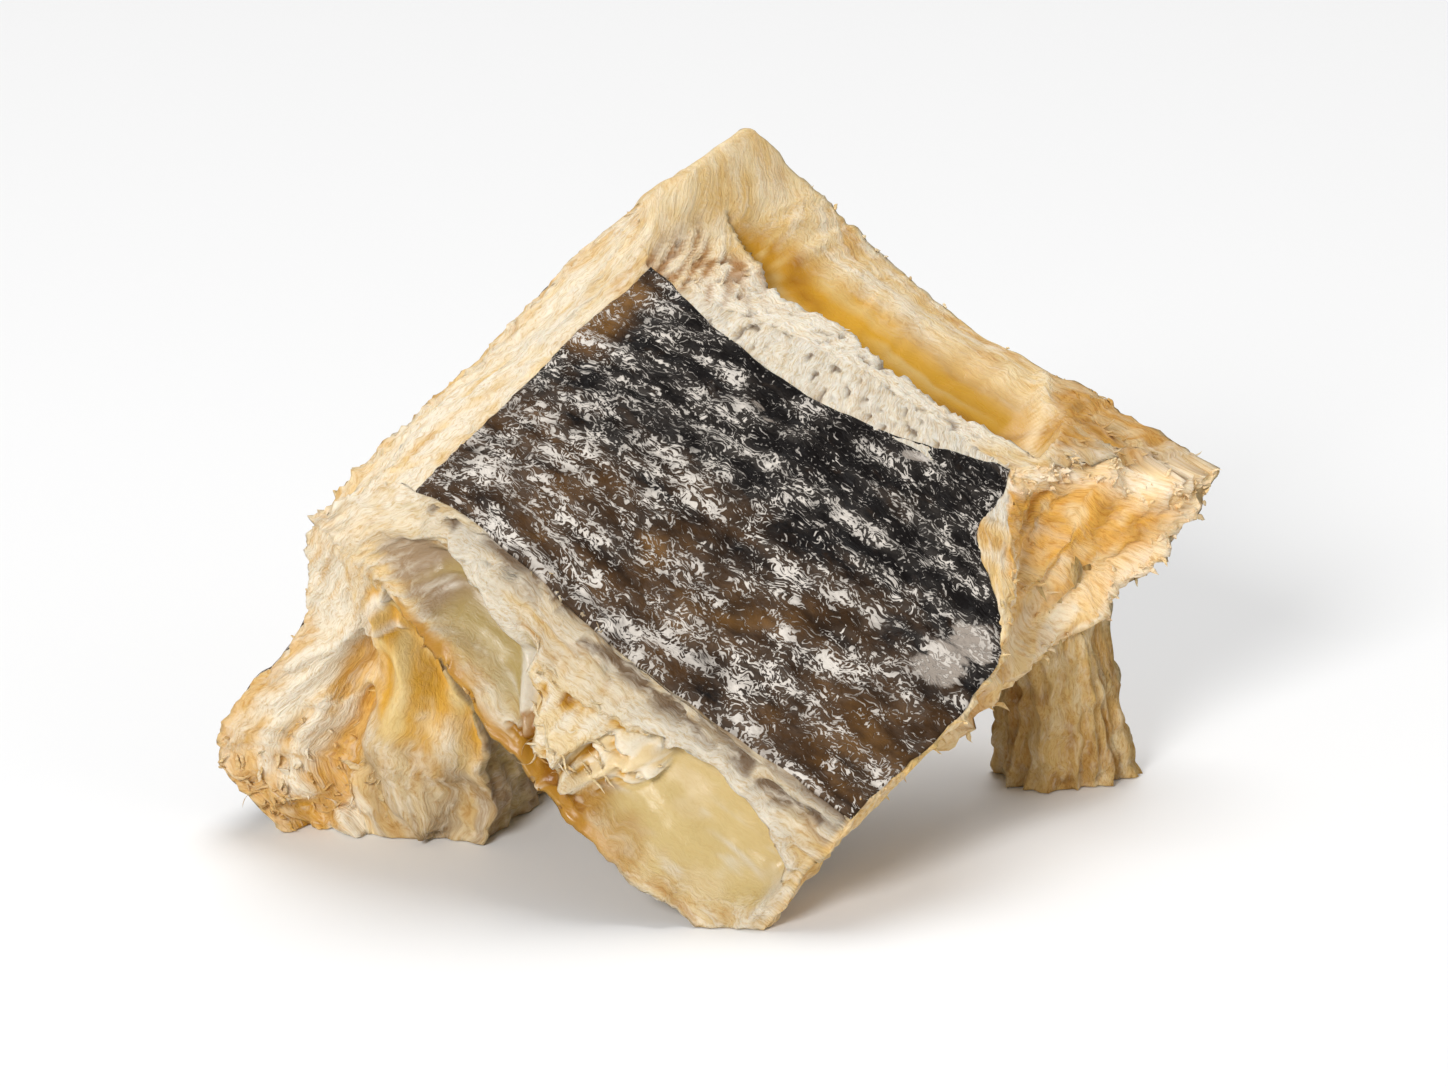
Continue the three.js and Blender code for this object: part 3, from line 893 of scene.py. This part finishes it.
leg_root = roof_points(*(np.array([share]) for share in LEG_ROOT))[0] / MM + FOOTPRINT_MIDDLE
leg_share = np.append(np.repeat(np.linspace(0, 1, LEG_STEPS + 1), LEG_SIDES), [0, 1])
leg_turn = np.append(np.tile(np.arange(LEG_SIDES) / LEG_SIDES * 2 * math.pi, LEG_STEPS + 1), [0, 0])
leg_reach = np.append(np.ones(LEG_SIDES * (LEG_STEPS + 1)), [0, 0])
ring_place = np.stack([np.cos(leg_turn), np.sin(leg_turn), leg_share * 0.5], axis=1)
flutes = layered_grain(ring_place * (2.2, 2.2, 1.6)) * 0.3 + creases(ring_place * (4.5, 4.5, 2)) * 0.22
leg_reach = leg_reach * (0.95 + flutes) * (0.35 + 0.65 * ramp(leg_share, 0, 0.16))
leg_axis, leg_wide, leg_thick = (
    curve_through(np.array(stations, float)[:, None], leg_share)
    for stations in ([leg_root, LEG_KNEE, LEG_FOOT], LEG_WIDES, LEG_THICKS)
)
leg_points = leg_axis + turned(leg_wide, leg_thick, leg_turn) * leg_reach[:, None]
leg_points += np.stack([grain(leg_points / 3.1 + shift) for shift in (3, 13, 23)], axis=1) * 0.7
leg_patches = layered_grain(leg_points / (3, 3, 9))
# Painted shade: the whole leg, which hangs in the shade of the hem, is darkened by 15 percent
shaded_leg_tint = 0.85 * layered(STRAW, [
    (AMBER, ramp(-flutes, -0.2, 0.15) * 0.9),
    (CREAM, ramp(leg_patches, 0, 0.5)),
    (DEEP_AMBER, ramp(-leg_patches, 0.1, 0.6) * 0.7),
])
LEG_CHALK = 0.6
leg_faces = np.array(tube_faces(LEG_SIDES, LEG_STEPS), dtype=object)
leg_stand = (leg_points - FOOTPRINT_MIDDLE) * MM
leg_shares = {"chalk": np.full(len(leg_points), LEG_CHALK)}
leg = flesh_piece("torn_leg", leg_stand, leg_faces, shaded_leg_tint, leg_points, leg_shares, LINING_TO_SKIN)
fit_out(leg)

# Skin
# Dark fish skin, dried fast to the flank and to the outer side of the left wall. It is about a millimetre
# thick, wrinkled down the flank, half glossy, and sprinkled with the pale edges of its scale pockets.

SKIN_PROUD = 0.4  # millimetres it stands off the flesh's plain form
SKIN_SUNK = 0.9  # millimetres it goes down into the flesh
SKIN_RAGGED = 0.5  # waves of its edge in millimetres
SKIN_SPANS = (ROOF_LENGTH, FISH_LENGTH)


def skin_shell(around, along, from_rim, rows, columns):
    """Closed thin shell over the skin side, with the depth of its wrinkles."""
    top = np.ones_like(around)
    base = roof_points(around, along, top) + relief_push(around, along, top)
    grid = base.reshape(rows, columns, 3)
    normals = unit(np.cross(np.gradient(grid, axis=0), np.gradient(grid, axis=1))).reshape(-1, 3)
    place = fibre_frame(around, along, top)
    wrinkles = 0.34 * grain(place / (14, 2.4, 9)) - 0.3 * creases(place / (11, 3.4, 9) + 6)
    swells = 0.3 * grain(place / 8.0 + 14) + 0.16 * grain(place / (2.2, 1.1, 5) + 26)
    rounding = 1 - np.exp(-np.maximum(from_rim, 0) / 0.5)
    lift = SKIN_PROUD * (0.35 + 0.65 * rounding) + (wrinkles + swells) * rounding
    upper = base + normals * (lift * MM)[:, None]
    lower = base - normals * SKIN_SUNK * MM
    number = np.arange(rows * columns).reshape(rows, columns)
    face = grid_quads(number)
    rim = np.concatenate([number[:-1, 0], number[-1, :-1], number[:0:-1, -1], number[0, :0:-1]])
    following = np.roll(rim, -1)
    count = rows * columns
    walls = np.stack([following, rim, rim + count, following + count], axis=1)
    return np.concatenate([upper, lower]), np.concatenate([face, face[:, ::-1] + count, walls]), wrinkles


def flank_panel(across, lengthwise, wave):
    """Places of the flank's skin, which sags at the rear cut and is torn back at the hem."""
    around = SKIN_START + (RIGHT_HEM - SKIN_START) * across
    along = lengthwise * flank_rear_edge(around)
    hem = np.minimum(flank_hem_edge(along) + wave / ROOF_LENGTH, RIGHT_HEM)
    start = SKIN_START + 0.5 * wave / ROOF_LENGTH
    return start + (hem - start) * across, along


def wall_panel(across, lengthwise, wave):
    around = WALL_SKIN_AROUND[0] + (WALL_SKIN_AROUND[1] - WALL_SKIN_AROUND[0]) * across
    along = WALL_SKIN_ALONG[0] + (WALL_SKIN_ALONG[1] - WALL_SKIN_ALONG[0]) * lengthwise
    return around + wave / ROOF_LENGTH * np.abs(2 * across - 1) ** 4, along


CHARCOAL = tint(14, 10, 9)
DARK_BROWN = tint(68, 46, 24)
AMBER_BROWN = tint(112, 78, 36)
FLECK = tint(214, 206, 196)
GREY_SKIN = tint(160, 149, 138)

minus, larger, without_sign = (maths(name) for name in ("SUBTRACT", "MAXIMUM", "ABSOLUTE"))


def skin_flecks(tree, place, scale, width, plenty):
    """Short pale curls: winding lines, broken up, and thicker and longer where they are plenty."""
    winding = stretched_noise(tree, place, scale, 2.0, 0.5)
    offset = vector_plus(tree, place, (37.0, 19.0, 0.0))
    breaks = stretched_noise(tree, offset, [1.3 * value for value in scale], 2.0, 0.5)
    off = without_sign(tree, minus(tree, winding, 0.5))
    inside = minus(tree, spread(tree, plenty, 0.4 * width, width), off)
    whole = minus(tree, breaks, spread(tree, plenty, 0.6, 0.4))
    return times(tree, remap(tree, inside, 0.0, 0.012), remap(tree, whole, 0.0, 0.04))


SKIN_SHARES = ("brownness", "pallor", "groove_shade", "flecked")


def skin_material():
    """Dried skin: charcoal to brown, with short curled pale flecks that gather into rows and patches."""
    material, tree, surface = plain_material("dried_skin")
    place = attribute(tree, "skin_place", "Vector")
    brownness, pallor, groove_shade, flecked = (attribute(tree, name) for name in SKIN_SHARES)
    blotches = stretched_noise(tree, place, (0.2, 0.3, 0.1), 6.0, 0.65)
    brown_share = plus(tree, brownness, minus(tree, blotches, 0.5))
    ground = blended(tree, remap(tree, brown_share, 0.1, 0.5), CHARCOAL, DARK_BROWN)
    ground = blended(tree, remap(tree, brown_share, 0.5, 0.9, 0.0, 0.9), ground, AMBER_BROWN)
    bent = swayed(tree, place, 0.3, (4.0, 4.0, 0.0))
    rows = stretched_noise(tree, bent, (0.06, 0.26, 0.1), 3.0, 0.6)
    clumps = stretched_noise(tree, place, (0.16, 0.24, 0.1), 4.0, 0.6)
    gathering = plus(tree, times(tree, plus(tree, rows, clumps), 0.5), times(tree, pallor, 0.1))
    plenty = remap(tree, plus(tree, gathering, times(tree, flecked, 0.06)), 0.45, 0.65)
    coarse = skin_flecks(tree, bent, (0.55, 0.85, 0.3), 0.07, plenty)
    slim = skin_flecks(tree, bent, (1.1, 1.7, 0.5), 0.09, plenty)
    flecks = larger(tree, coarse, slim)
    blotched_pallor = plus(tree, pallor, times(tree, minus(tree, blotches, 0.5), 1.5))
    peeled = remap(tree, blotched_pallor, 0.7, 0.85, 0.0, 0.9)
    hazed = blended(tree, times(tree, plenty, 0.15), ground, GREY_SKIN)
    # Painted shade: charcoal in the grooves of the wrinkles
    groove_shaded = blended(tree, times(tree, groove_shade, 0.6), hazed, CHARCOAL)
    pale = blended(tree, peeled, groove_shaded, GREY_SKIN)
    coloured = blended(tree, times(tree, flecks, remap(tree, clumps, 0.35, 0.62, 0.3, 0.95)), pale, FLECK)
    grooves = stretched_noise(tree, bent, (0.14, 0.7, 0.3), 5.0, 0.65)
    height = plus(tree, grooves, times(tree, flecks, 0.3))
    feed(tree, surface, {
        "Base Color": coloured,
        "Roughness": remap(tree, clumps, 0.35, 0.65, 0.4, 0.6),
        "Normal": bumps(tree, height, 0.9, 0.7),
        "Specular IOR Level": 0.12,
    })
    return material


# Pale tears and brown stains of the flank's skin: line over (around, along), width and height
PALE_TEARS = [
    ([(0.46, 0.79), (0.56, 0.68), (0.6, 0.73)], 2.2, 0.6),
    ([(0.78, 0.85), (0.82, 0.885)], 1.1, 1.2),
    ([(0.3, 0.03), (0.55, 0.05), (0.7, 0.1), (0.86, 0.13)], 0.9, 0.6),
    ([(0.93, 0.38), (0.96, 0.5)], 4.5, 1.0),
]
BROWN_STAINS = [
    ([(0.19, 0.66), (0.2, 0.9)], 5.0, 1.0),
    ([(0.24, 0.36), (0.33, 0.31)], 3.0, 0.55),
    ([(0.5, 0.25), (0.52, 0.22)], 3.0, 0.9),
    ([(0.66, 0.2), (0.74, 0.28)], 4.0, 0.7),
    ([(0.92, 0.18), (0.99, 0.15)], 3.5, 0.7),
    ([(0.45, 0.43), (0.6, 0.41)], 4.0, 0.45),
]
dried_skin = skin_material()
# Name, places, share of the roof and grid rows of each panel
SKIN_PANELS = [("flank_skin", flank_panel, 0.83, 180), ("wall_skin", wall_panel, 0.5, 110)]
SKIN_COLUMNS = 150
for name, panel_places, wide, rows in SKIN_PANELS:
    grid_lines = np.meshgrid(np.linspace(0, 1, rows), np.linspace(0, 1, SKIN_COLUMNS), indexing="ij")
    across, lengthwise = (grid.ravel() for grid in grid_lines)
    edge_run = fibre_frame(across * wide, lengthwise, np.zeros_like(across))
    wave = SKIN_RAGGED * (grain(edge_run / 2.3 + 80) + 0.6 * grain(edge_run / 7 + 85))
    skin_around, skin_along = panel_places(across, lengthwise, wave)
    from_sides = np.minimum(across, 1 - across) * wide * ROOF_LENGTH
    from_rim = np.minimum(from_sides, np.minimum(lengthwise, 1 - lengthwise) * FISH_LENGTH)
    points, faces, wrinkles = skin_shell(skin_around, skin_along, from_rim, rows, SKIN_COLUMNS)
    place = fibre_frame(skin_around, skin_along, np.ones_like(skin_around))
    brownness = 0.45 * ramp(skin_along, 0.6, 0.2) + 0.3 * layered_grain(place / 12 + 90)
    brownness = np.maximum(brownness, strongest(skin_around, skin_along, BROWN_STAINS, SKIN_SPANS))
    pallor = strongest(skin_around, skin_along, PALE_TEARS, SKIN_SPANS)
    # Where the wrinkles sink, for the painted shade in their grooves
    groove_shade = ramp(-wrinkles, 0.1, 0.5)
    flecked = ramp(np.abs(skin_around) + skin_along, 1.25, 0.4)
    shares = dict(zip(SKIN_SHARES, (brownness, pallor, groove_shade, flecked)))
    one_side = {"skin_place": place, **shares}
    both_sides = {label: np.concatenate([values, values]) for label, values in one_side.items()}
    panel = new_piece(name, points, faces, dried_skin, both_sides, {})
    fit_out(panel)

# Shreds
# Fine torn fibres and curls of flesh that stand off the hem, the left foot, and the two cuts and their rims.
# Each is a thin twisted ribbon of dried flesh, still grown to the piece at its root.

SHRED_THICKNESS = 0.14
SHRED_CHALK = 0.5
shred_block, shred_faces = block_surface(np.linspace(0, 1, 11), np.linspace(-1, 1, 4), np.linspace(-1, 1, 2))


def surface_normals(points, faces):
    square = np.cross(points[faces[:, 2]] - points[faces[:, 0]], points[faces[:, 3]] - points[faces[:, 1]])
    normals = np.zeros_like(points)
    for corner in range(4):
        np.add.at(normals, faces[:, corner], square)
    return unit(normals)


def shred(root, normal, lie, length, width, rise, curl, twist):
    """One ribbon that leaves the surface at its root, along its lie, and curls over towards its tip."""
    forward = unit(lie - normal * (lie @ normal) + normal * rise)
    side = unit(np.cross(normal, forward))
    lift = np.cross(forward, side)
    run, across, deep = shred_block.T
    axis = turned(forward, lift, curl * run**1.5) * run[:, None]
    axis += side * (0.12 * grain(np.stack([run * 2.5, run * 0, run * 0], axis=1) + root / MM))[:, None]
    broad = turned(side, lift, twist * run)
    thin = turned(lift, -side, twist * run)
    taper = (1 - run**3) * (0.7 + 0.3 * np.sin(run * 3)) * (1 + 0.35 * grain(shred_block * 2.5 + root / MM))
    points = root - normal * 0.3 * MM + axis * length * MM
    points += broad * (across * taper * width * MM)[:, None]
    return points + thin * (deep * taper * SHRED_THICKNESS * MM)[:, None]


flesh_normals = surface_normals(flesh_points, flesh_faces)
left_of = np.maximum(around - SMALL_STEP, LEFT_FOOT)
right_of = np.minimum(around + SMALL_STEP, RIGHT_HEM)
round_roof = way((left_of, along, outward), (right_of, along, outward))
above_ground = flesh_points[:, 2] > 2 * MM
cut_rims = (on_lining | on_skin_side) & (in_front | in_rear) | at_hem & (on_lining | on_skin_side)
# Where shreds grow: the places, how they lie, how many, longest, widest, how steep and how curled
SHRED_PLACES = [
    (at_hem & (hem_rim > 0.4), through, 150, 1.8, 0.5, 0.7, 1.4),
    (at_hem & (along > 0.25) & (along < 0.86), through, 60, 3.0, 0.45, 0.3, 0.8),
    (in_rear & (flap > 0.5), round_roof, 50, 3.0, 0.35, 0.15, 0.5),
    (in_front & (around < -0.46) & (outward > 0.4), -round_roof, 70, 3.2, 0.55, 0.3, 1.0),
    (in_front & (around < -0.5) & (outward > 0.85), -round_roof, 14, 4.0, 0.5, 0.3, 0.9),
    (in_front & (knob > 0.05), round_roof, 40, 4.0, 0.25, 0.4, 1.2),
    (in_front & (band_slits + wall_folds > 0.5), round_roof, 30, 3.0, 0.25, 0.25, 0.5),
    (in_rear & (rear_strip > 0.5), round_roof, 40, 2.0, 0.2, 0.15, 0.4),
    (cut_rims & (around > -0.4), round_roof, 80, 1.4, 0.3, 0.25, 0.8),
]
shred_points = []
shred_tints = []
for grown, lie, count, longest, widest, rise, curl in SHRED_PLACES:
    for index in dice.choice(np.flatnonzero(grown & above_ground), count):
        size = dice.uniform(0.35, 1.0)
        heading = lie[index] * dice.choice([-1, 1, 1]) + 0.5 * dice.normal(size=3)
        points = shred(
            flesh_points[index], flesh_normals[index], heading,
            longest * size, widest * dice.uniform(0.4, 1.0), rise * dice.uniform(0.2, 1.6),
            curl * dice.uniform(-0.6, 1.4), dice.uniform(-2, 2),
        )
        shred_points.append(points)
        pale_tip = shred_block[:, 0] * dice.uniform(0.0, 0.8)
        shred_tints.append(mix(flesh_tint[index], CREAM, pale_tip))

shred_starts = np.arange(len(shred_points))[:, None, None] * len(shred_block)
shred_points = np.concatenate(shred_points)
all_shred_faces = (shred_faces[None] + shred_starts).reshape(-1, 4)
shreds = flesh_piece(
    "torn_shreds", shred_points, all_shred_faces, np.concatenate(shred_tints), shred_points / MM,
    {"chalk": np.full(len(shred_points), SHRED_CHALK)}, ROUND_ROOF,
)
fit_out(shreds)

# Floor, light and camera
# The piece stands on a plain white table in a pale room. A soft key light comes from the front left, a weak
# fill from the right, and a broad light from above. The camera looks along +Y from a little above.

FLOOR_SIZE = 8.0
FLOOR_DROP = 0.0002  # keeps the table clear of the flat underside
FLOOR_WHITE = (0.84, 0.84, 0.84, 1.0)
ROOM_LIGHT = 0.3
bpy.ops.mesh.primitive_plane_add(size=FLOOR_SIZE, location=(0, 0, -FLOOR_DROP))
floor = bpy.context.object
floor.name = "table"
table_white, table_tree, table_surface = plain_material("table_white")
feed(table_tree, table_surface, {"Base Color": FLOOR_WHITE, "Roughness": 0.6})
floor.data.materials.append(table_white)

world = bpy.data.worlds.new("pale_room")
bpy.context.scene.world = world
world.use_nodes = True
room = world.node_tree
feed(room, room.nodes["Background"], {"Color": (1.0, 1.0, 1.0, 1.0), "Strength": ROOM_LIGHT})


def aim(thing, target):
    direction = np.array(target) - np.array(thing.location)
    thing.rotation_euler = Vector(direction).to_track_quat("-Z", "Y").to_euler()


def soft_light(name, location, size, power):
    lamp = bpy.data.lights.new(name, "AREA")
    lamp.shape = "DISK"
    lamp.size = size
    lamp.energy = power
    thing = bpy.data.objects.new(name, lamp)
    thing.location = location
    aim(thing, (0, 0, 0.03))
    bpy.context.scene.collection.objects.link(thing)


soft_light("key", location=(-0.72, -1.7, 1.0), size=0.7, power=36.0)
soft_light("fill", location=(1.6, -1.0, 1.0), size=1.4, power=4.0)
soft_light("top", location=(0.0, 0.9, 2.4), size=1.8, power=41.0)

CAMERA_DISTANCE = 0.86
CAMERA_ELEVATION = math.radians(17)
CAMERA_LENS = 160.0  # millimetres, on a sensor 36 millimetres wide
LOOK_AT = (0.0, 0.0, 0.039)
camera_data = bpy.data.cameras.new("camera")
camera_data.sensor_width = 36.0
camera_data.lens = CAMERA_LENS
camera = bpy.data.objects.new("camera", camera_data)
back = np.array([0, -math.cos(CAMERA_ELEVATION), math.sin(CAMERA_ELEVATION)])
camera.location = np.array(LOOK_AT) + back * CAMERA_DISTANCE
aim(camera, LOOK_AT)
bpy.context.scene.collection.objects.link(camera)
bpy.context.scene.camera = camera
bpy.context.scene.view_settings.view_transform = "Standard"
